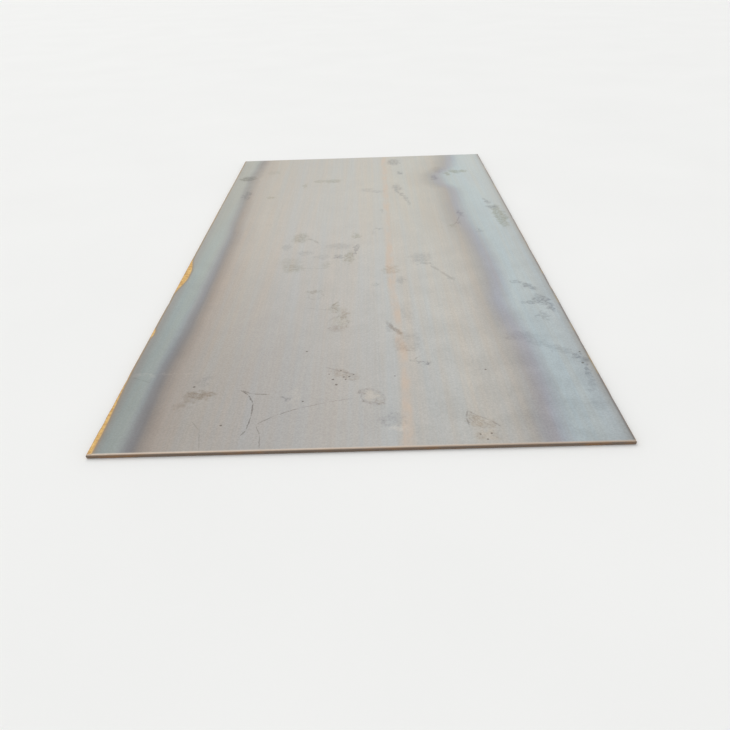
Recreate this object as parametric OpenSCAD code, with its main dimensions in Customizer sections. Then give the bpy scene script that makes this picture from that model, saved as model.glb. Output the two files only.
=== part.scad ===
// Hot-rolled steel plate, cut to length on a guillotine shear.
//
// One piece of steel. It lies flat on its underside, with its length along Y,
// which is the rolling direction, and its thickness along Z. The origin is at
// the middle of the underside. All sizes are in millimetres.
//
// Across X the section is flat with a shallow round bulge down each long edge,
// as the rolls leave it. Along Y each end is a sheared edge: a rounded lip where
// the blade pressed in, an upright band that the blade cut, and a leaning band
// where the rest of the thickness broke away.

/* [Plate] */
// Width of the plate, over the bulged long edges
plate_w = 1500; // [900:50:2500]
// Length of the plate, along the rolling direction
plate_l = 3000; // [1800:100:6000]
// Thickness of the plate
plate_t = 12; // [8:1:25]

/* [Rolled long edges] */
// How far each long edge bulges out at the middle of the thickness
edge_bulge = 2; // [0.5:0.5:3.5]

/* [Sheared ends] */
// Radius of the rounded lip where the blade pressed in
lip_r = 1.5; // [0.5:0.25:2]
// Share of the thickness, counted from the lip's face, that the blade cut
cut_share = 0.4; // [0.3:0.05:0.6]
// Lean of the broken band from upright, in degrees
break_lean = 4; // [1:1:8]

/* [Hidden] */
// Radius of the arc that spans the thickness and stands out by edge_bulge
bulge_r = (pow(plate_t / 2, 2) + pow(edge_bulge, 2)) / (2 * edge_bulge);
// Height of the broken band, and how far it leans back at the far face
break_h = plate_t * (1 - cut_share);
break_back = break_h * tan(break_lean);
// Cutting shapes run past the plate by this much
overrun = 1;
steel_colour = [0.69, 0.67, 0.65];
$fn = 96;

// Section across the plate, with X to the right and the thickness upwards.
module rolled_section() {
    arc_centre_x = plate_w / 2 - bulge_r;
    intersection() {
        translate([-plate_w / 2, 0])
            square([plate_w, plate_t]);
        union() {
            translate([-arc_centre_x, 0])
                square([2 * arc_centre_x, plate_t]);
            for (side = [-1, 1])
                translate([side * arc_centre_x, plate_t / 2])
                    circle(r = bulge_r);
        }
    }
}

// What shearing takes off one end, drawn for an end whose cut is at X = 0 with
// the steel at positive X: the corner outside the lip, on the top face, and the
// sliver outside the broken band, which runs down to the bottom face.
module shear_waste() {
    difference() {
        translate([-overrun, plate_t - lip_r])
            square([lip_r + overrun, lip_r + overrun]);
        translate([lip_r, plate_t - lip_r])
            circle(r = lip_r);
    }
    polygon([
        [0, break_h],
        [-overrun, break_h],
        [-overrun, -overrun],
        [break_back + overrun * tan(break_lean), -overrun],
    ]);
}

// Outline along the plate, with the length to the right and the thickness
// upwards. The shear strikes down at both cuts, so the lip is on top at the
// near end and underneath at the far end: each end is the other half-turned.
module sheared_outline() {
    difference() {
        translate([-plate_l / 2, 0])
            square([plate_l, plate_t]);
        for (turn = [0, 180])
            translate([0, plate_t / 2])
                rotate(turn)
                    translate([-plate_l / 2, -plate_t / 2])
                        shear_waste();
    }
}

module plate() {
    color(steel_colour)
        intersection() {
            translate([0, plate_l / 2 + overrun, 0])
                rotate([90, 0, 0])
                    linear_extrude(plate_l + 2 * overrun)
                        rolled_section();
            translate([-plate_w / 2 - overrun, 0, 0])
                rotate([90, 0, 90])
                    linear_extrude(plate_w + 2 * overrun)
                        sheared_outline();
        }
}

plate();
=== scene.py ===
"""A hot-rolled steel plate, as rolled and sheared, lying flat on a pale floor.

The plate's long edges run along Y, which is the rolling direction, and its near end is at -Y.
All lengths are in metres.
"""

import math

import bpy
import mathutils
import numpy as np
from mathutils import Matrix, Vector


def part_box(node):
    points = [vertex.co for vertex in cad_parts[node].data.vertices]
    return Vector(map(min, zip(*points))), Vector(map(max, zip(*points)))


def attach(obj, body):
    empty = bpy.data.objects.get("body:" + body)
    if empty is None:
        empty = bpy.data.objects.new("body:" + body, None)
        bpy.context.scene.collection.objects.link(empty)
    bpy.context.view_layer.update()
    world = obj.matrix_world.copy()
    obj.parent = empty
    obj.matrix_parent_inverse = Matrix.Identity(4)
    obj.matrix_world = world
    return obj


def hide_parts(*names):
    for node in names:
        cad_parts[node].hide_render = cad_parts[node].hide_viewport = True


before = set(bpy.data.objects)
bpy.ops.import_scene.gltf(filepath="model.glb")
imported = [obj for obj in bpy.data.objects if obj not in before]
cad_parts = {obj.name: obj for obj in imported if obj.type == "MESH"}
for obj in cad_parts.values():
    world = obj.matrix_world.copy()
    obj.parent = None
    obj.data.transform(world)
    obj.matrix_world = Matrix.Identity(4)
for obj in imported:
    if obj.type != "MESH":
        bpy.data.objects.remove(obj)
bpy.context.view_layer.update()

plate_low, plate_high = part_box("plate")
WIDTH, LENGTH, THICKNESS = plate_high - plate_low

# How far each long edge bulges out, and the arc that spans the thickness and bulges so far.
EDGE_BULGE = 0.002
BULGE_RADIUS = ((THICKNESS / 2) ** 2 + EDGE_BULGE**2) / (2 * EDGE_BULGE)
# The radius of each long edge's two rounded corners.
ARRIS_RADIUS = 0.0008

# The sheared ends: the rounded lip, the share of the thickness that the blade cut, and the band that
# broke off below it, which leans back and is torn rough by as much as the tear's depth.
LIP_RADIUS = 0.0015
CUT_SHARE = 0.4
BREAK_HEIGHT = THICKNESS * (1 - CUT_SHARE)
BREAK_LEAN = math.radians(4)
TEAR_DEPTH = 0.00025

# Cells of the mesh across the plate and along it, and its layers in each lip's turn and between them.
CELLS_ACROSS = 136
CELLS_ALONG = 220
LAYERS_IN_LIP = 6
LAYERS_BETWEEN = 7

# The finishes' places in the mesh's list of materials.
SKIN, ROLLED_EDGE, SHEARED_END = range(3)


# ---------------------------------------------------------------- shape


def box_lattice(*cells):
    """The surface of a box cut into cells: lattice points, faces that face out, and each face's axis."""
    points, axes = [], []
    for axis in range(3):
        across, along = (axis + 1) % 3, (axis + 2) % 3
        first, second = np.meshgrid(range(cells[across]), range(cells[along]), indexing="ij")
        for level in (0, cells[axis]):
            corners = np.zeros((first.size, 4, 3), int)
            corners[:, :, axis] = level
            corners[:, :, across] = first.reshape(-1, 1) + [0, 1, 1, 0]
            corners[:, :, along] = second.reshape(-1, 1) + [0, 0, 1, 1]
            points.append(corners if level else corners[:, ::-1])
            axes.append(np.full(first.size, axis))
    corners = np.concatenate(points)
    lattice, index = np.unique(corners.reshape(-1, 3), axis=0, return_inverse=True)
    return lattice, index.reshape(-1, 4), np.concatenate(axes)


def graded(share):
    """Maps -1..1 onto itself, with the steps close together near both ends."""
    crowding = 0.42
    return share * (1 + crowding) - crowding * share**3


def height_levels():
    """Heights of the lattice's layers, close together where the lips turn."""
    turn = np.radians(np.linspace(0, 90, LAYERS_IN_LIP + 1))
    lip = LIP_RADIUS * (1 - np.sin(turn[::-1]))
    middle = np.linspace(LIP_RADIUS, THICKNESS - LIP_RADIUS, LAYERS_BETWEEN + 1)[1:-1]
    return np.concatenate([lip, middle, THICKNESS - lip[::-1]])


def rounding(depth, radius):
    """How far a rounded corner of this radius stands back, at a depth below the face."""
    inside = np.clip(1 - depth / radius, 0, 1)
    return radius * (1 - np.sqrt(1 - inside**2))


def rolled_half_width(z):
    """Half the plate's width at a height: the bulge of the long edges, with its corners rounded off."""
    bulge = np.sqrt(BULGE_RADIUS**2 - (z - THICKNESS / 2) ** 2)
    corners = rounding(z, ARRIS_RADIUS) + rounding(THICKNESS - z, ARRIS_RADIUS)
    return WIDTH / 2 - BULGE_RADIUS + bulge - corners


def sheared_setback(z, lip_radius):
    """How far a sheared end stands back, with its lip at the top and its broken band below the cut one."""
    broken = np.clip(BREAK_HEIGHT - z, 0, None) * math.tan(BREAK_LEAN)
    return broken + rounding(THICKNESS - z, lip_radius)


def waves(place, lengths, seed):
    """A smooth random line from -1 to 1: sines of these wavelengths with random phases."""
    phases = np.random.default_rng(seed).uniform(0, 2 * math.pi, len(lengths))
    swings = [np.sin(2 * math.pi * place / span + phase) for span, phase in zip(lengths, phases)]
    return sum(swings) / len(lengths)


def long_edge_wander(y, side):
    """How far a long edge strays from straight: long soft waves and small knocks."""
    wave_reach = 0.0007
    knock_count = 7
    soft = wave_reach * waves(y, (1.9, 0.83, 0.31), seed=11 + side)
    knocks = np.zeros_like(y)
    draw = np.random.default_rng(31 + side)
    for _ in range(knock_count):
        place = draw.uniform(-0.47, 0.47) * LENGTH
        depth = draw.uniform(0.0006, 0.0016)
        half_width = draw.uniform(0.012, 0.03)
        knocks += depth * np.exp(-(((y - place) / half_width) ** 2))
    return soft - knocks


def flatness(x, y):
    """How far the plate stands off the floor: never below it, and 1 mm at the most."""
    mean_gap = 0.0005
    along = waves(y, (3.7, 2.1), seed=5)
    across = waves(x + 0.3 * y, (2.3, 1.2), seed=6)
    return mean_gap * (1 + (along + across) / 2)


def plate_mesh():
    """The plate as one closed mesh: flat faces, bulged long edges and sheared ends."""
    levels = height_levels()
    cells = (CELLS_ACROSS, CELLS_ALONG, len(levels) - 1)
    lattice, faces, axes = box_lattice(*cells)
    across = graded(2 * lattice[:, 0] / cells[0] - 1)
    along = (graded(2 * lattice[:, 1] / cells[1] - 1) + 1) / 2
    z = levels[lattice[:, 2]]
    x = across * rolled_half_width(z)

    # The shear struck down at both cuts, which left the near end's lip on top and the far one's below.
    near_lip = LIP_RADIUS * (1 + 0.25 * waves(x, (0.41, 0.17, 0.07), seed=21))
    far_lip = LIP_RADIUS * (1 + 0.25 * waves(x, (0.37, 0.19, 0.08), seed=22))
    near = -LENGTH / 2 + sheared_setback(z, near_lip)
    far = LENGTH / 2 - sheared_setback(THICKNESS - z, far_lip)
    y = near + along * (far - near)

    # The broken bands are torn rough.
    draw = np.random.default_rng(41).uniform(-1, 1, len(z))
    torn_near = (lattice[:, 1] == 0) & (z < BREAK_HEIGHT) & (z > 0)
    torn_far = (lattice[:, 1] == cells[1]) & (z > THICKNESS - BREAK_HEIGHT) & (z < THICKNESS)
    y += TEAR_DEPTH * draw * torn_near - TEAR_DEPTH * draw * torn_far

    # The long edges wander, and what lies further in follows them less and less.
    wander = np.where(across < 0, -long_edge_wander(y, 0), long_edge_wander(y, 1))
    follows = np.abs(across) ** 8
    x += wander * follows
    z = z + flatness(x, y)

    mesh = bpy.data.meshes.new("steel_plate")
    mesh.from_pydata(np.stack([x, y, z], 1), [], faces)
    mesh.polygons.foreach_set("material_index", np.choose(axes, [ROLLED_EDGE, SHEARED_END, SKIN]))
    mesh.shade_smooth()
    mesh.set_sharp_from_angle(angle=math.radians(38))
    mesh.validate()
    return mesh


# ---------------------------------------------------------------- material building blocks


def tone(red, green, blue):
    """A colour given as 0 to 255 on a screen, as the linear value that a shader takes."""
    return (*(((part / 255 + 0.055) / 1.055) ** 2.4 for part in (red, green, blue)), 1)


def set_stops(ramp, stops):
    """Gives a colour ramp its stops, each a position from 0 to 1 and a colour."""
    points = ramp.elements
    while len(points) < len(stops):
        points.new(1.0)
    for point, (position, colour) in zip(points, stops):
        point.position = position
        point.color = colour


class Graph:
    """A material's nodes, with a short way to add each kind and join it up."""

    def __init__(self, name):
        self.material = bpy.data.materials.new(name)
        self.material.use_nodes = True
        self.tree = self.material.node_tree
        self.shader = self.tree.nodes["Principled BSDF"]
        self.place = self.add("ShaderNodeTexCoord").outputs["Object"]
        self.x, self.y, self.z = self.add("ShaderNodeSeparateXYZ", [self.place]).outputs

    def put(self, socket, value):
        """Joins a socket to another node's output, or sets it to a plain value."""
        if isinstance(value, bpy.types.NodeSocket):
            self.tree.links.new(value, socket)
        else:
            socket.default_value = value

    def add(self, kind, inputs=(), **settings):
        """A node with these settings, its first inputs filled in order."""
        node = self.tree.nodes.new(kind)
        for name, value in settings.items():
            setattr(node, name, value)
        for socket, value in zip(node.inputs, inputs):
            self.put(socket, value)
        return node

    def fill(self, node, values):
        """Joins or sets a node's inputs by their names."""
        for name, value in values.items():
            self.put(node.inputs[name], value)

    def math(self, operation, *values):
        """One math node's result."""
        return self.add("ShaderNodeMath", values, operation=operation).outputs[0]

    def plus(self, first, second):
        return self.math("ADD", first, second)

    def minus(self, first, second):
        return self.math("SUBTRACT", first, second)

    def times(self, first, second):
        return self.math("MULTIPLY", first, second)

    def apart(self, first, second):
        """How far apart two values are, whichever is the greater."""
        return self.math("ABSOLUTE", self.minus(first, second))

    def vector(self, operation, *values):
        """One vector math node's result."""
        node = self.add("ShaderNodeVectorMath", values, operation=operation)
        return node.outputs["Value" if operation == "DOT_PRODUCT" else "Vector"]

    def fade(self, value, start, end, low=0.0, high=1.0):
        """A smooth step from low, where value is at start, to high, where it is at end."""
        node = self.add("ShaderNodeMapRange", interpolation_type="SMOOTHSTEP")
        limits = {"From Min": start, "From Max": end, "To Min": low, "To Max": high}
        self.fill(node, {"Value": value, **limits})
        return node.outputs["Result"]

    def scaled(self, across, along, height):
        """The place with each of its axes scaled, so that a pattern on it is stretched."""
        return self.vector("MULTIPLY", self.place, (across, along, height))

    def noise(self, place, scale, detail=2.0, roughness=0.5, colour=False):
        """Soft noise: about 0.5 on average, or three unlike ones as a colour."""
        node = self.add("ShaderNodeTexNoise")
        self.fill(node, {"Vector": place, "Scale": scale, "Detail": detail, "Roughness": roughness})
        return node.outputs["Color" if colour else "Fac"]

    def mix(self, factor, first, second, blend="MIX"):
        """Two colours mixed: the first where the factor is 0, and its blend with the second where 1."""
        first_colour, second_colour, mixed_colour = 6, 7, 2
        node = self.add("ShaderNodeMix", data_type="RGBA", blend_type=blend)
        self.fill(node, {"Factor": factor, first_colour: first, second_colour: second})
        return node.outputs[mixed_colour]

    def multiply(self, colour, other):
        """A colour multiplied by another, or by a plain value."""
        return self.mix(1.0, colour, other, "MULTIPLY")

    def stain(self, mask, colour, tint):
        """A colour multiplied by a tint where the mask is 1."""
        return self.mix(mask, colour, self.multiply(colour, tint))

    def ramp(self, value, stops, smoothing="LINEAR"):
        """Colours at the given values, which run from 0 to the last stop's."""
        node = self.add("ShaderNodeValToRGB")
        node.color_ramp.interpolation = smoothing
        reach = stops[-1][0]
        set_stops(node.color_ramp, [(at / reach, colour) for at, colour in stops])
        self.put(node.inputs["Fac"], self.math("DIVIDE", value, reach))
        return node.outputs["Color"]

    def along_plate(self, stops):
        """A value that changes smoothly along the plate, given as pairs of y and value."""
        half = LENGTH / 2
        # A ramp holds nothing above 1, so it is filled with shares of the greatest value.
        greatest = max(value for _, value in stops)
        shares = [(y + half, value / greatest) for y, value in stops]
        greys = [(at, (share, share, share, 1)) for at, share in shares]
        return self.times(self.ramp(self.plus(self.y, half), greys, "CARDINAL"), greatest)

    def blot(self, place, centre, size, turn=0.0):
        """Squared distance from a blot's centre, which is 1 on an ellipse of this size and turn.

        The place holds x, y and 1, so that one dot product shifts, turns and scales it.
        """
        cosine, sine = math.cos(math.radians(turn)), math.sin(math.radians(turn))
        squares = []
        for axis_x, axis_y, half in ((cosine, sine, size[0] / 2), (-sine, cosine, size[1] / 2)):
            start = axis_x * centre[0] + axis_y * centre[1]
            reach = self.vector("DOT_PRODUCT", place, (axis_x / half, axis_y / half, -start / half))
            squares.append(self.times(reach, reach))
        return self.plus(*squares)

    def most(self, values):
        """The greatest of several values, each joined on as it is made so that few are held at once."""
        values = iter(values)
        result = next(values)
        for value in values:
            result = self.math("MAXIMUM", result, value)
        return result

    def bump(self, height, depth, normal=None):
        """Relief this deep, from a height of 0 to 1, on top of any relief given as a normal."""
        node = self.add("ShaderNodeBump")
        self.fill(node, {"Strength": 1.0, "Distance": depth, "Height": height})
        if normal:
            self.put(node.inputs["Normal"], normal)
        return node.outputs[0]

    def finish(self, colour, roughness, normal, metallic):
        """Wires up the shader and returns the material."""
        self.fill(self.shader, {"Base Color": colour, "Roughness": roughness})
        self.fill(self.shader, {"Normal": normal, "Metallic": metallic})
        return self.material


# ---------------------------------------------------------------- the oxide skin

# Temper colours of the oxide skin, by distance from the left long edge to the middle.
LEFT_TEMPER = [
    (0.000, tone(130, 126, 121)),
    (0.024, tone(127, 129, 126)),
    (0.040, tone(131, 141, 139)),
    (0.075, tone(139, 148, 144)),
    (0.096, tone(132, 137, 138)),
    (0.112, tone(119, 119, 122)),
    (0.126, tone(117, 113, 112)),
    (0.145, tone(132, 123, 115)),
    (0.180, tone(154, 145, 136)),
    (0.260, tone(164, 158, 150)),
    (0.420, tone(166, 163, 159)),
    (0.750, tone(173, 170, 165)),
]
# The same by distance from the right long edge, which has a wider pale band.
RIGHT_TEMPER = [
    (0.000, tone(126, 124, 122)),
    (0.012, tone(152, 154, 153)),
    (0.030, tone(163, 170, 172)),
    (0.075, tone(167, 176, 178)),
    (0.150, tone(164, 174, 176)),
    (0.180, tone(154, 161, 166)),
    (0.205, tone(149, 150, 157)),
    (0.228, tone(149, 148, 151)),
    (0.245, tone(153, 150, 148)),
    (0.270, tone(160, 156, 150)),
    (0.320, tone(171, 167, 160)),
    (0.430, tone(175, 173, 167)),
    (0.750, tone(173, 170, 165)),
]

# The streaks' two tints, and the tints of the plate's near end and of its far one.
WARM_TINT = (1.016, 0.993, 0.972, 1)
COOL_TINT = (0.980, 1.002, 1.025, 1)
NEAR_TINT = (0.992, 0.992, 1.008, 1)
FAR_TINT = (1.008, 1.004, 0.970, 1)

# What each kind of dirt multiplies the skin's colour by, and what rings, scratches and dots do.
OLIVE_DIRT = (0.60, 0.58, 0.47, 1)
GREY_DIRT = (0.54, 0.54, 0.57, 1)
BROWN_DIRT = (0.64, 0.55, 0.45, 1)
DARK_MARKS = (0.46, 0.42, 0.40, 1)

# How far in from each long edge the dark line of its band lies, as pairs of y and distance.
LEFT_BORDER = [
    (-1.50, 0.126),
    (-1.25, 0.119),
    (-0.95, 0.125),
    (-0.55, 0.139),
    (-0.05, 0.139),
    (0.45, 0.122),
    (1.05, 0.107),
    (1.50, 0.124),
]
RIGHT_BORDER = [
    (-1.50, 0.226),
    (-1.20, 0.214),
    (-0.95, 0.212),
    (-0.70, 0.243),
    (-0.45, 0.226),
    (-0.15, 0.226),
    (0.15, 0.252),
    (0.45, 0.274),
    (0.78, 0.268),
    (0.90, 0.322),
    (1.06, 0.326),
    (1.20, 0.255),
    (1.35, 0.217),
    (1.50, 0.204),
]
# How light the scale is along the plate: a painted sheen, darkest at the near end and lightest beyond the
# middle.
PAINTED_SHEEN_ALONG = [
    (-1.50, 0.93),
    (-0.90, 1.03),
    (-0.30, 1.10),
    (0.40, 1.12),
    (1.50, 1.10),
]
# Where the left band's dark line is deepened, by distance from the edge as in its temper colours.
DEEPENED_PLACE = 0.116
# How much the line is deepened along the plate, as pairs of y and share.
DEEPENING = [
    (-1.50, 0.16),
    (-1.00, 0.12),
    (-0.50, 0.01),
    (0.40, 0.01),
    (0.80, 0.14),
    (1.10, 0.20),
    (1.50, 0.14),
]
# The middle of the rusty water line, as pairs of y and x.
WATER_LINE = [
    (-1.50, 0.133),
    (-1.15, 0.145),
    (-0.60, 0.131),
    (0.00, 0.127),
    (0.80, 0.135),
    (1.50, 0.141),
]

# Dirt on the top face from shoes and handling: x, y, width, length, turn in degrees and strength.
OLIVE_BLOTS = [
    (-0.672, 1.100, 0.075, 0.085, 0, 1.00),
    (-0.240, 1.000, 0.060, 0.055, 0, 0.55),
    (-0.165, 1.000, 0.075, 0.060, 0, 0.70),
    (-0.530, 1.210, 0.060, 0.070, 0, 0.35),
    (-0.500, 0.725, 0.032, 0.045, 0, 0.70),
    (-0.325, 0.925, 0.018, 0.070, 0, 0.60),
    (0.555, 1.120, 0.045, 0.070, 20, 1.00),
    (0.605, 1.120, 0.045, 0.060, 0, 0.95),
    (0.508, 1.075, 0.028, 0.060, 0, 0.95),
    (-0.285, 0.095, 0.060, 0.105, 0, 0.65),
    (-0.022, 0.100, 0.034, 0.055, 0, 0.65),
    (-0.300, -0.200, 0.070, 0.090, 0, 0.35),
    (-0.290, -0.255, 0.080, 0.080, 30, 0.62),
    (-0.155, -0.235, 0.030, 0.060, 0, 0.35),
    (-0.050, -0.155, 0.032, 0.110, 0, 0.75),
    (-0.180, -0.500, 0.050, 0.028, 0, 0.48),
    (-0.095, -0.660, 0.060, 0.045, 0, 0.52),
    (0.690, 0.320, 0.050, 0.280, 0, 1.00),
    (0.440, 0.200, 0.030, 0.040, 0, 0.55),
    (-0.092, -0.615, 0.016, 0.045, -10, 0.60),
    (-0.070, -0.745, 0.050, 0.090, 0, 0.42),
]
GREY_BLOTS = [
    (0.030, 0.812, 0.060, 0.052, 20, 0.40),
    (0.088, 0.775, 0.062, 0.038, 0, 0.45),
    (0.200, 0.825, 0.036, 0.140, 0, 0.75),
    (0.215, 0.735, 0.022, 0.110, 14, 0.75),
    (0.242, 0.600, 0.013, 0.130, 4, 0.70),
    (0.230, 1.125, 0.024, 0.060, 0, 1.00),
    (0.200, 1.370, 0.065, 0.120, 0, 0.80),
    (0.105, 0.450, 0.010, 0.060, 0, 0.60),
    (0.088, 0.190, 0.030, 0.020, 0, 0.90),
    (0.062, 0.160, 0.008, 0.100, 0, 0.40),
    (0.500, 0.380, 0.018, 0.080, 8, 0.80),
    (0.475, 0.240, 0.012, 0.030, 0, 0.70),
    (0.425, 1.005, 0.034, 0.085, 0, 0.75),
    (0.560, 0.130, 0.018, 0.050, 0, 0.60),
    (0.658, 0.560, 0.026, 0.090, 6, 0.95),
    (0.670, 0.458, 0.050, 0.045, 0, 1.00),
    (-0.635, 0.775, 0.040, 0.130, 0, 1.00),
    (-0.340, -0.020, 0.050, 0.060, 0, 0.40),
    (-0.100, -0.020, 0.100, 0.060, 0, 0.40),
    (-0.024, -0.070, 0.020, 0.110, -6, 0.90),
    (-0.097, -0.150, 0.036, 0.045, 0, 0.85),
    (-0.170, -0.145, 0.050, 0.050, 0, 0.30),
    (-0.250, -0.090, 0.060, 0.040, 0, 0.40),
    (0.262, -0.180, 0.080, 0.095, 0, 0.45),
    (0.272, -0.243, 0.040, 0.030, 0, 0.60),
    (0.370, -0.412, 0.014, 0.034, 20, 0.35),
    (0.170, -0.412, 0.026, 0.060, 0, 0.50),
    (0.058, -0.445, 0.030, 0.026, 0, 0.25),
    (0.622, -0.460, 0.030, 0.030, 0, 0.60),
    (0.662, -0.503, 0.022, 0.075, 38, 1.00),
    (0.690, -0.632, 0.050, 0.090, 20, 1.00),
    (0.640, -0.645, 0.060, 0.026, 0, 0.80),
    (0.706, -0.680, 0.028, 0.090, 10, 1.00),
    (0.668, -0.755, 0.040, 0.050, 0, 0.70),
    (0.165, -0.930, 0.080, 0.110, -10, 0.30),
    (0.220, -1.066, 0.014, 0.026, 20, 1.00),
    (0.192, -1.052, 0.050, 0.010, -10, 0.50),
    (0.560, -0.905, 0.100, 0.055, 0, 0.35),
    (0.602, -0.950, 0.070, 0.040, -30, 0.40),
    (0.660, -0.995, 0.070, 0.040, -35, 0.50),
    (0.714, -1.055, 0.026, 0.060, 30, 0.90),
    (0.718, -1.130, 0.016, 0.070, 0, 0.80),
    (0.092, -1.372, 0.062, 0.050, 10, 0.40),
    (-0.500, -1.140, 0.030, 0.060, -10, 0.35),
    (0.704, -1.215, 0.018, 0.080, -8, 0.45),
    (0.700, -1.310, 0.030, 0.070, 0, 0.20),
    (0.455, 1.170, 0.050, 0.120, 0, 0.30),
    (-0.672, 1.100, 0.065, 0.075, 0, 1.00),
    (0.105, -0.815, 0.030, 0.050, 0, 0.40),
    (0.172, -0.730, 0.020, 0.110, 8, 0.25),
    (-0.228, -1.250, 0.022, 0.016, 0, 0.80),
]
BROWN_BLOTS = [
    (-0.493, -1.218, 0.080, 0.042, 0, 1.00),
    (-0.535, -1.262, 0.065, 0.036, 42, 0.60),
    (0.108, -0.795, 0.014, 0.060, 20, 0.30),
    (0.128, -0.835, 0.022, 0.085, 28, 0.60),
    (0.150, -0.960, 0.050, 0.050, 0, 0.22),
    (-0.082, -0.812, 0.058, 0.036, 0, 0.52),
    (-0.057, -0.700, 0.018, 0.075, -6, 0.48),
    (0.130, -0.300, 0.060, 0.070, 0, 0.50),
    (-0.050, -1.120, 0.080, 0.040, -38, 0.45),
    (0.035, -1.245, 0.050, 0.070, 30, 0.25),
    (0.332, -1.385, 0.034, 0.064, 30, 0.60),
    (0.364, -1.408, 0.044, 0.036, 0, 0.45),
    (0.358, -1.462, 0.060, 0.040, 0, 0.45),
    (0.060, -1.285, 0.034, 0.022, 30, 0.45),
]
# Small dark dots where grit was trodden in: x, y and width.
DOTS = [
    (-0.085, -1.150, 0.008),
    (-0.074, -1.180, 0.009),
    (-0.052, -1.138, 0.007),
    (-0.034, -1.136, 0.007),
    (-0.045, -1.152, 0.006),
    (-0.062, -1.098, 0.006),
    (-0.020, -1.124, 0.006),
    (-0.098, -1.118, 0.005),
    (0.110, -1.140, 0.006),
    (0.400, -1.115, 0.008),
    (-0.172, -1.268, 0.007),
    (-0.400, -1.380, 0.007),
    (-0.520, -1.172, 0.009),
    (-0.180, -0.970, 0.008),
    (0.335, -1.452, 0.006),
    (0.366, -1.449, 0.007),
    (0.352, -1.475, 0.006),
    (0.716, -1.090, 0.009),
    (0.724, -1.020, 0.008),
]
# Prints with a dark outline: x, y, width, length, turn in degrees and strength.
OUTLINES = [
    (0.038, -1.253, 0.058, 0.088, 38, 0.70),
    (-0.078, -0.765, 0.062, 0.100, 0, 0.25),
    (0.164, -0.930, 0.075, 0.105, -8, 0.14),
    (0.098, -1.372, 0.072, 0.056, 10, 0.26),
    (-0.180, -0.530, 0.055, 0.070, 0, 0.26),
    (0.058, -0.446, 0.032, 0.028, 0, 0.60),
    (0.618, -0.458, 0.034, 0.034, 0, 0.60),
]
# Places inside the prints that were rubbed pale.
PALE_BLOTS = [
    (0.030, -1.245, 0.036, 0.050, 38, 0.30),
    (-0.078, -0.750, 0.036, 0.060, 0, 0.08),
    (0.160, -0.925, 0.046, 0.070, -8, 0.10),
    (0.110, -1.415, 0.050, 0.022, 0, 0.25),
    (0.345, -1.388, 0.036, 0.040, 20, 0.15),
    (0.360, -1.462, 0.030, 0.040, 0, 0.30),
    (-0.200, -1.240, 0.022, 0.080, 0, 0.10),
    (-0.640, -1.090, 0.220, 0.008, 0, 0.08),
]
# Scratches: how dark each is, how wide, and the points that it runs through.
SCRATCHES = [
    (0.95, 0.006, [(-0.370, -1.198), (-0.342, -1.225), (-0.322, -1.270), (-0.318, -1.340)]),
    (0.95, 0.006, [(-0.318, -1.340), (-0.324, -1.405), (-0.336, -1.432)]),
    (0.70, 0.007, [(-0.370, -1.198), (-0.330, -1.220), (-0.275, -1.226)]),
    (0.65, 0.005, [(-0.298, -1.378), (-0.250, -1.338), (-0.180, -1.303)]),
    (0.45, 0.005, [(-0.180, -1.303), (-0.100, -1.277), (-0.010, -1.255)]),
    (0.60, 0.004, [(-0.298, -1.385), (-0.282, -1.430), (-0.275, -1.495)]),
    (0.30, 0.005, [(-0.490, -1.355), (-0.458, -1.400), (-0.440, -1.495)]),
    (0.40, 0.018, [(0.295, -0.270), (0.330, -0.330), (0.374, -0.418)]),
    (0.42, 0.018, [(-0.250, 0.085), (-0.220, 0.062), (-0.194, 0.020)]),
    (0.30, 0.007, [(-0.250, -0.258), (-0.200, -0.268), (-0.150, -0.272)]),
    (0.50, 0.007, [(-0.110, -1.075), (-0.060, -1.105), (-0.020, -1.120)]),
    (0.38, 0.022, [(0.092, -0.772), (0.116, -0.812), (0.144, -0.868)]),
    (0.45, 0.007, [(-0.092, -0.600), (-0.112, -0.640), (-0.085, -0.668)]),
    (0.30, 0.006, [(-0.210, -0.640), (-0.160, -0.655), (-0.110, -0.662)]),
    (0.40, 0.008, [(0.445, 0.200), (0.470, 0.260), (0.490, 0.330)]),
    (0.60, 0.007, [(0.309, -1.412), (0.306, -1.372), (0.313, -1.338)]),
    (0.55, 0.006, [(0.313, -1.338), (0.336, -1.362), (0.372, -1.388), (0.398, -1.420)]),
    (0.30, 0.005, [(0.318, -1.352), (0.330, -1.384), (0.352, -1.410)]),
    (0.30, 0.005, [(0.314, -1.372), (0.326, -1.402), (0.346, -1.424)]),
    (0.30, 0.005, [(0.334, -1.366), (0.346, -1.392), (0.370, -1.412)]),
    (0.45, 0.006, [(0.190, -1.025), (0.175, -1.048), (0.215, -1.062)]),
    (0.35, 0.006, [(-0.735, -1.105), (-0.700, -1.122), (-0.665, -1.140)]),
]


def band_place(g, side, border, settled, wander):
    """Distance in from a long edge, shifted so that the band's inner border follows its own line.

    The shift is nothing beside the edge, where the margin stays, and whole from the settled distance on.
    """
    margin = 0.02
    inward = g.times(g.minus(g.x, side * WIDTH / 2), -side)
    _, at_near_end = border[0]
    excess = g.plus(g.minus(g.along_plate(border), at_near_end), wander)
    return g.minus(inward, g.times(excess, g.fade(inward, margin, settled)))


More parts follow.
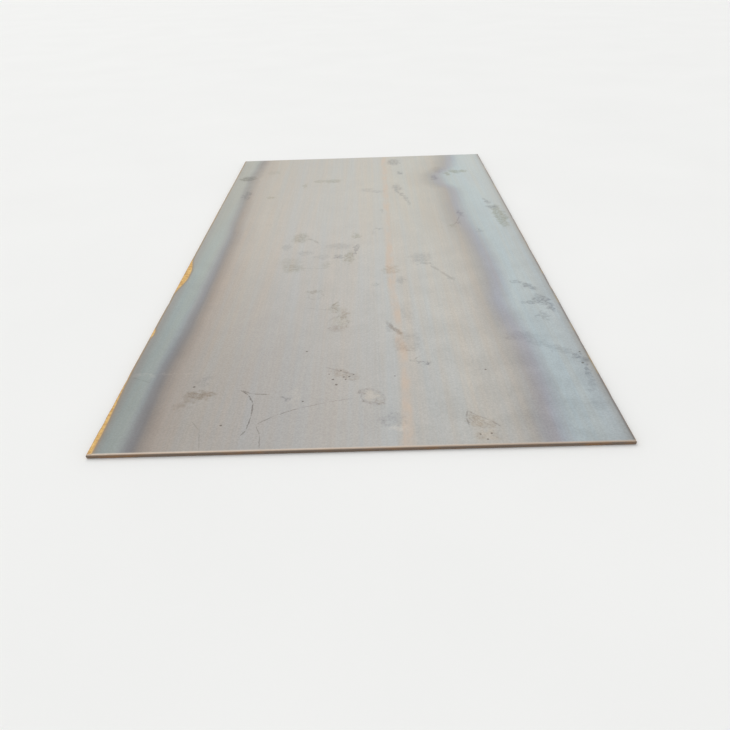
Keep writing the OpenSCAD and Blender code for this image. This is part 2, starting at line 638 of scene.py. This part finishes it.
def temper_colour(g, wander):
    """The skin's base colour: a band of temper colours down each long edge, warm grey between."""
    left_place = band_place(g, -1, LEFT_BORDER, 0.11, wander)
    right_place = band_place(g, 1, RIGHT_BORDER, 0.20, wander)
    left = g.ramp(left_place, LEFT_TEMPER)
    right = g.ramp(right_place, RIGHT_TEMPER)

    # The left band loses its blue towards the far end, and its dark line is deeper towards both ends.
    faded = g.times(g.fade(g.y, -0.7, 1.0, 0.0, 0.7), g.fade(g.x, -0.60, -0.66))
    left = g.mix(faded, left, tone(143, 141, 133))
    on_line = g.fade(g.apart(left_place, DEEPENED_PLACE), 0.036, 0.006)
    left = g.multiply(left, g.minus(1.0, g.times(on_line, g.along_plate(DEEPENING))))
    return g.mix(g.fade(g.x, -0.05, 0.05), left, right)


def dirt_masks(g, rough_place, blots):
    """How strongly each of a list of blots covers a place, from 0 to 1; each fades out past its size."""
    spread = 1.5
    for x, y, width, length, turn, strength in blots:
        distance = g.blot(rough_place, (x, y), (width * spread, length * spread), turn)
        yield g.fade(distance, 1.0, 0.15, 0.0, strength)


def outline_masks(g, rough_place, outlines):
    """Thin dark rings round the prints."""
    for x, y, width, length, turn, strength in outlines:
        distance = g.blot(rough_place, (x, y), (width, length), turn)
        yield g.fade(g.apart(distance, 1.0), 0.40, 0.08, 0.0, strength)


def scratch_masks(g, fine_place, scratches):
    """Scratches, each a chain of long thin blots that overlap at their ends."""
    overlap = 1.15
    for strength, width, points in scratches:
        for (x0, y0), (x1, y1) in zip(points, points[1:]):
            middle = ((x0 + x1) / 2, (y0 + y1) / 2)
            reach = overlap * math.hypot(x1 - x0, y1 - y0)
            turn = math.degrees(math.atan2(y1 - y0, x1 - x0))
            distance = g.blot(fine_place, middle, (reach, width), turn)
            yield g.fade(distance, 1.0, 0.3, 0.0, strength)


def dot_masks(g, fine_place, dots):
    """Small round dots with sharp edges."""
    for x, y, width in dots:
        yield g.fade(g.blot(fine_place, (x, y), (width, width)), 1.4, 0.4)


def shifted(g, scale, reach):
    """x, y and 1, with x and y moved about by noise, by up to about reach, to make outlines irregular."""
    noise = g.noise(g.place, scale, detail=3.0, colour=True)
    centred = g.vector("SUBTRACT", noise, (0.5, 0.5, 0.5))
    # The noise seldom strays more than a quarter from its middle.
    shift = g.vector("MULTIPLY", centred, (reach * 4, reach * 4, 0))
    on_face = g.vector("MULTIPLY_ADD", g.place, (1, 1, 0), (0, 0, 1))
    return g.vector("ADD", on_face, shift)


def left_rust(g):
    """Rust that has crept in over the left margin: most at the near corner and in one long patch.

    Gives the rust's own mask, and that of the dark stain along its border.
    """
    least_reach = 0.002
    patch = g.fade(g.apart(g.y, -0.30), 0.20, 0.03, 0.0, 0.024)
    near_corner = g.fade(g.y, -0.95, -1.48, 0.0, 0.012)
    spot = g.fade(g.apart(g.y, -0.81), 0.05, 0.01, 0.0, 0.008)
    reach = g.plus(g.plus(patch, near_corner), g.plus(spot, least_reach))
    ragged = g.noise(g.scaled(9, 3.5, 1), 1.0, detail=4.0)
    reach = g.plus(reach, g.times(g.minus(ragged, 0.5), 0.010))
    beyond = g.minus(g.plus(g.x, WIDTH / 2), reach)
    return g.fade(beyond, 0.0025, -0.0020), g.fade(beyond, 0.012, 0.0, 0.0, 0.8)


def rolling_streaks(g, colour):
    """Broad soft tints and faint hairlines along the rolling direction, over mottling and fine grain.

    Gives the colour, and the three patterns that relief and gloss follow too.
    """
    broad = g.noise(g.scaled(14, 0.35, 1), 1.0)
    medium = g.noise(g.scaled(42, 1.3, 1), 1.0)
    hair = g.noise(g.scaled(150, 1.1, 1), 1.0, detail=4.0, roughness=0.65)
    mottle = g.noise(g.place, 9.0, detail=6.0, roughness=0.6)
    grain = g.noise(g.place, 180.0, detail=3.0, roughness=0.7)
    for pattern in (broad, medium):
        colour = g.multiply(colour, g.mix(g.fade(pattern, 0.3, 0.7), WARM_TINT, COOL_TINT))
    for pattern, depth in ((hair, 0.03), (mottle, 0.06), (grain, 0.10)):
        colour = g.multiply(colour, g.fade(pattern, 0.25, 0.75, 1 - depth, 1 + depth))
    return colour, hair, mottle, grain


def water_line(g, colour):
    """One faint rusty line where water ran along the plate, with a cooler one beside it."""
    ragged = g.minus(g.noise(g.scaled(30, 5, 1), 1.0, detail=4.0), 0.5)
    middle = g.plus(g.along_plate(WATER_LINE), g.times(ragged, 0.03))
    across = g.minus(g.x, middle)
    patchy = g.fade(g.noise(g.scaled(22, 9, 1), 1.0, detail=5.0), 0.32, 0.68, 0.12, 0.50)
    cool = g.fade(g.apart(across, -0.048), 0.028, 0.014, 0.0, 0.12)
    colour = g.mix(cool, colour, tone(178, 187, 192))
    rusty = g.times(g.fade(g.apart(across, 0.0), 0.024, 0.008), patchy)
    return g.mix(rusty, colour, tone(199, 172, 147))


def dirt(g, colour, top):
    """Dirt and scratches on the top face, broken up by flecks.

    Gives the colour and the mask of the rings, scratches and dots.
    """
    rough_place = shifted(g, 42.0, 0.018)
    print_place = shifted(g, 48.0, 0.012)
    fine_place = shifted(g, 90.0, 0.0016)
    flecks = g.fade(g.noise(g.place, 75.0, detail=5.0, roughness=0.75), 0.38, 0.62, 0.25, 1.0)
    broken = g.fade(g.noise(g.place, 260.0, detail=3.0, roughness=0.7), 0.35, 0.62, 0.35, 1.0)
    for blots, tint in ((OLIVE_BLOTS, OLIVE_DIRT), (GREY_BLOTS, GREY_DIRT), (BROWN_BLOTS, BROWN_DIRT)):
        mask = g.times(g.most(dirt_masks(g, rough_place, blots)), g.times(flecks, top))
        colour = g.stain(mask, colour, tint)
    pale = g.times(g.most(dirt_masks(g, rough_place, PALE_BLOTS)), g.times(broken, top))
    colour = g.mix(pale, colour, tone(214, 204, 190))
    arcs = g.fade(g.noise(g.place, 30.0), 0.42, 0.60, 0.3, 1.0)
    rings = g.times(g.most(outline_masks(g, print_place, OUTLINES)), g.times(flecks, arcs))
    lines = g.times(g.most(scratch_masks(g, fine_place, SCRATCHES)), broken)
    dots = g.most(dot_masks(g, fine_place, DOTS))
    dark = g.times(g.most([rings, lines, dots]), top)
    return g.stain(dark, colour, DARK_MARKS), dark


def painted_light_and_tint(g, colour):
    """Paints light and shade into the scale's colour, and changes its tint from end to end.

    A painted sheen makes it darkest at the near end and lightest beyond the middle; towards the near end
    painted shade darkens the left side, and the left band still more, and painted light lifts the right
    side.
    """
    # Painted shade on the left and painted light on the right, towards the near end; the left band gets
    # more painted shade.
    sideways = g.times(g.fade(g.y, 0.3, -1.3), g.fade(g.x, 0.60, -0.70, -0.13, 0.21))
    near_band = g.times(g.fade(g.y, -0.55, -0.95), g.fade(g.x, -0.50, -0.64, 0.0, 0.05))
    darker = g.plus(sideways, near_band)
    colour = g.multiply(colour, g.times(g.along_plate(PAINTED_SHEEN_ALONG), g.minus(1.0, darker)))
    return g.multiply(colour, g.mix(g.fade(g.y, -1.5, 1.4), NEAR_TINT, FAR_TINT))


def worn_margins_and_lip_highlight(g, colour, hair):
    """Rust over the left margin, stains down the right one, and a light line along the near lip, partly
    steel rubbed bright and partly a painted highlight.

    Gives the colour and the rust's mask.
    """
    rust, rust_border = left_rust(g)
    colour = g.mix(rust_border, colour, tone(122, 100, 66))
    blotchy = g.fade(g.noise(g.place, 65.0, detail=5.0, roughness=0.7), 0.30, 0.70)
    colour = g.mix(rust, colour, g.mix(blotchy, tone(184, 138, 78), tone(234, 194, 122)))

    patches = g.noise(g.scaled(1, 7, 1), 1.0, detail=4.0)
    brown = g.mix(g.fade(patches, 0.50, 0.62), tone(112, 98, 86), tone(170, 146, 92))
    beside_right = g.fade(g.minus(WIDTH / 2, g.x), 0.012, 0.002)
    colour = g.mix(g.times(beside_right, g.fade(hair, 0.3, 0.6, 0.2, 0.7)), colour, brown)

    # The light line along the near lip: partly steel rubbed bright, partly a painted highlight.
    lip_wear_and_highlight = g.fade(g.plus(g.y, LENGTH / 2), 0.008, 0.003, 0.0, 0.7)
    return g.mix(lip_wear_and_highlight, colour, tone(196, 180, 165)), rust


def skin_roughness(g, mottle, rust, dark):
    """The blue bands are the smoothest, and rust, rings, scratches and dots are dull."""
    edge_gap = g.minus(WIDTH / 2, g.math("ABSOLUTE", g.x))
    roughness = g.fade(edge_gap, 0.08, 0.30, 0.34, 0.46)
    roughness = g.plus(roughness, g.fade(mottle, 0.3, 0.7, -0.06, 0.06))
    roughness = g.plus(roughness, g.times(dark, 0.15))
    return g.math("MAXIMUM", roughness, g.times(rust, 0.85))


def skin_material():
    """Blue-grey to warm grey mill scale, with streaks along the rolling direction, dirt and rust."""
    g = Graph("mill_scale_skin")
    # The dirt lies on the top face only.
    top = g.fade(g.z, 0.004, 0.008)
    # The bands' borders wander along the plate.
    wander = g.times(g.minus(g.noise(g.scaled(1.5, 4.2, 1), 1.0, detail=4.0), 0.5), 0.030)
    colour = temper_colour(g, wander)
    colour, hair, mottle, grain = rolling_streaks(g, colour)
    # Painted sheen and painted shade, and a tint from end to end.
    colour = painted_light_and_tint(g, colour)
    colour = water_line(g, colour)
    colour, dark = dirt(g, colour, top)
    colour, rust = worn_margins_and_lip_highlight(g, colour, hair)
    roughness = skin_roughness(g, mottle, rust, dark)
    metallic = g.times(g.minus(1.0, rust), 0.35)
    normal = g.bump(hair, 0.00004)
    normal = g.bump(grain, 0.00012, normal)
    return g.finish(colour, roughness, normal, metallic)


def rolled_edge_material():
    """The long edges as the rolls left them: dark scale under patches of orange rust."""
    g = Graph("rolled_edge")
    streaks = g.noise(g.scaled(1, 3, 260), 1.0, detail=3.0)
    patches = g.noise(g.scaled(8, 5, 40), 1.0, detail=5.0, roughness=0.6)
    grain = g.noise(g.place, 500.0, detail=3.0, roughness=0.7)
    clouds = g.noise(g.scaled(20, 26, 90), 1.0, detail=5.0, roughness=0.7)
    bare = g.mix(streaks, tone(88, 82, 78), tone(128, 116, 104))
    rust = g.mix(g.fade(clouds, 0.34, 0.66), tone(122, 90, 62), tone(200, 162, 108))
    rust = g.multiply(rust, g.fade(grain, 0.25, 0.75, 0.8, 1.15))

    # The left edge is rustier than the right one.
    on_left = g.fade(g.x, 0.1, -0.1)
    rusty = g.fade(g.minus(patches, g.times(on_left, 0.11)), 0.56, 0.44)
    colour = g.mix(rusty, bare, rust)
    roughness = g.fade(rusty, 0.0, 1.0, 0.55, 0.88)
    metallic = g.fade(rusty, 0.0, 1.0, 0.4, 0.0)
    normal = g.bump(grain, 0.00025)
    normal = g.bump(streaks, 0.0003, normal)
    return g.finish(colour, roughness, normal, metallic)


def sheared_end_material():
    """A sheared end: a lip that is partly bright steel and partly a painted highlight, a cut band scored by
    the blade and a dull torn band, browned over.
    """
    g = Graph("sheared_end")
    grain = g.noise(g.scaled(300, 300, 500), 1.0, detail=4.0, roughness=0.7)
    scores = g.noise(g.scaled(220, 1, 18), 1.0, detail=3.0)
    patches = g.noise(g.scaled(14, 1, 60), 1.0, detail=4.0)

    # Height above the face opposite the lip, which is on top at the near end and underneath at the far one.
    at_far_end = g.fade(g.y, -0.1, 0.1)
    height = g.plus(g.z, g.times(at_far_end, g.minus(THICKNESS, g.times(g.z, 2.0))))

    cut = g.mix(scores, tone(120, 106, 94), tone(140, 126, 114))
    torn = g.mix(grain, tone(104, 90, 78), tone(140, 124, 110))
    colour = g.mix(g.fade(height, BREAK_HEIGHT - 0.0004, BREAK_HEIGHT + 0.0004), torn, cut)
    seam = g.fade(g.apart(height, BREAK_HEIGHT), 0.0012, 0.0002, 0.0, 0.5)
    colour = g.mix(seam, colour, tone(72, 60, 52))
    colour = g.mix(g.fade(patches, 0.5, 0.7, 0.0, 0.7), colour, tone(150, 112, 74))
    # The lip's light colour is partly bright steel and partly a painted highlight.
    lip = g.fade(height, THICKNESS - LIP_RADIUS * 1.3, THICKNESS - LIP_RADIUS * 0.3)
    colour = g.mix(lip, colour, tone(186, 167, 149))
    roughness = g.plus(g.fade(lip, 0.0, 1.0, 0.62, 0.42), g.fade(grain, 0.3, 0.7, -0.05, 0.08))
    normal = g.bump(grain, 0.00035)
    normal = g.bump(scores, 0.0002, normal)
    return g.finish(colour, roughness, normal, 0.35)


# ---------------------------------------------------------------- plate, floor, light and camera

# The sky's colours, by the sine of the angle above the horizon.
SKY_STOPS = [
    (0.00, (0.45, 0.45, 0.448, 1)),
    (0.09, (0.50, 0.495, 0.487, 1)),
    (0.16, (0.75, 0.74, 0.714, 1)),
    (0.35, (0.46, 0.455, 0.445, 1)),
    (0.60, (0.28, 0.285, 0.285, 1)),
    (1.00, (0.22, 0.23, 0.24, 1)),
]


def floor_material():
    """Plain pale floor, faintly clouded."""
    g = Graph("pale_floor")
    cloud = g.noise(g.place, 1.3, detail=4.0)
    fine = g.noise(g.place, 60.0, detail=3.0)
    colour = g.mix(cloud, (0.86, 0.86, 0.855, 1), (0.90, 0.90, 0.895, 1))
    return g.finish(colour, 0.85, g.bump(fine, 0.0002), 0.0)


def make_floor():
    """One big flat square."""
    half = 40.0
    corners = [(-half, -half, 0), (half, -half, 0), (half, half, 0), (-half, half, 0)]
    mesh = bpy.data.meshes.new("floor")
    mesh.from_pydata(corners, [], [(0, 1, 2, 3)])
    mesh.materials.append(floor_material())
    floor = bpy.data.objects.new("floor", mesh)
    bpy.context.scene.collection.objects.link(floor)


def make_sky():
    """A pale surround, brightest just above the horizon."""
    world = bpy.data.worlds.new("studio")
    world.use_nodes = True
    nodes, links = world.node_tree.nodes, world.node_tree.links
    direction = nodes.new("ShaderNodeTexCoord")
    height = nodes.new("ShaderNodeSeparateXYZ")
    sky = nodes.new("ShaderNodeValToRGB")
    set_stops(sky.color_ramp, SKY_STOPS)
    links.new(direction.outputs["Generated"], height.inputs[0])
    links.new(height.outputs["Z"], sky.inputs["Fac"])
    links.new(sky.outputs["Color"], nodes["Background"].inputs["Color"])
    nodes["Background"].inputs["Strength"].default_value = 2.0
    bpy.context.scene.world = world


def make_lamp():
    """One very soft lamp, high up beyond the far end and to the left."""
    lamp = bpy.data.lights.new("soft_key", "SUN")
    lamp.energy = 1.35
    lamp.angle = math.radians(60)
    lamp.color = (1.0, 0.985, 0.96)
    key = bpy.data.objects.new("soft_key", lamp)
    key.rotation_euler = (math.radians(-28), math.radians(-22), 0)
    bpy.context.scene.collection.objects.link(key)


def make_camera():
    """Stands off the near end at chest height, and looks down along the plate."""
    camera = bpy.data.cameras.new("camera")
    camera.sensor_width = 36
    camera.lens = 33.84
    camera.clip_end = 200
    holder = bpy.data.objects.new("camera", camera)
    holder.location = (0.0458, -2.9735, 1.1753)
    below_level = math.radians(31.381)
    to_left = math.radians(0.901)
    roll = math.radians(-2.063)
    turned = mathutils.Quaternion((0, 0, 1), to_left)
    lowered = mathutils.Quaternion((1, 0, 0), math.pi / 2 - below_level)
    rolled = mathutils.Quaternion((0, 0, 1), roll)
    holder.rotation_mode = "QUATERNION"
    holder.rotation_quaternion = turned @ lowered @ rolled
    scene = bpy.context.scene
    scene.collection.objects.link(holder)
    scene.camera = holder
    scene.view_settings.view_transform = "Standard"


def make_plate():
    """The plate's mesh with its three finishes, riding on the frame's one body."""
    mesh = plate_mesh()
    for material in (skin_material(), rolled_edge_material(), sheared_end_material()):
        mesh.materials.append(material)
    plate = bpy.data.objects.new("steel_plate", mesh)
    bpy.context.scene.collection.objects.link(plate)
    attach(plate, "root")
    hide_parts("plate")


make_camera()
make_plate()
make_floor()
make_sky()
make_lamp()
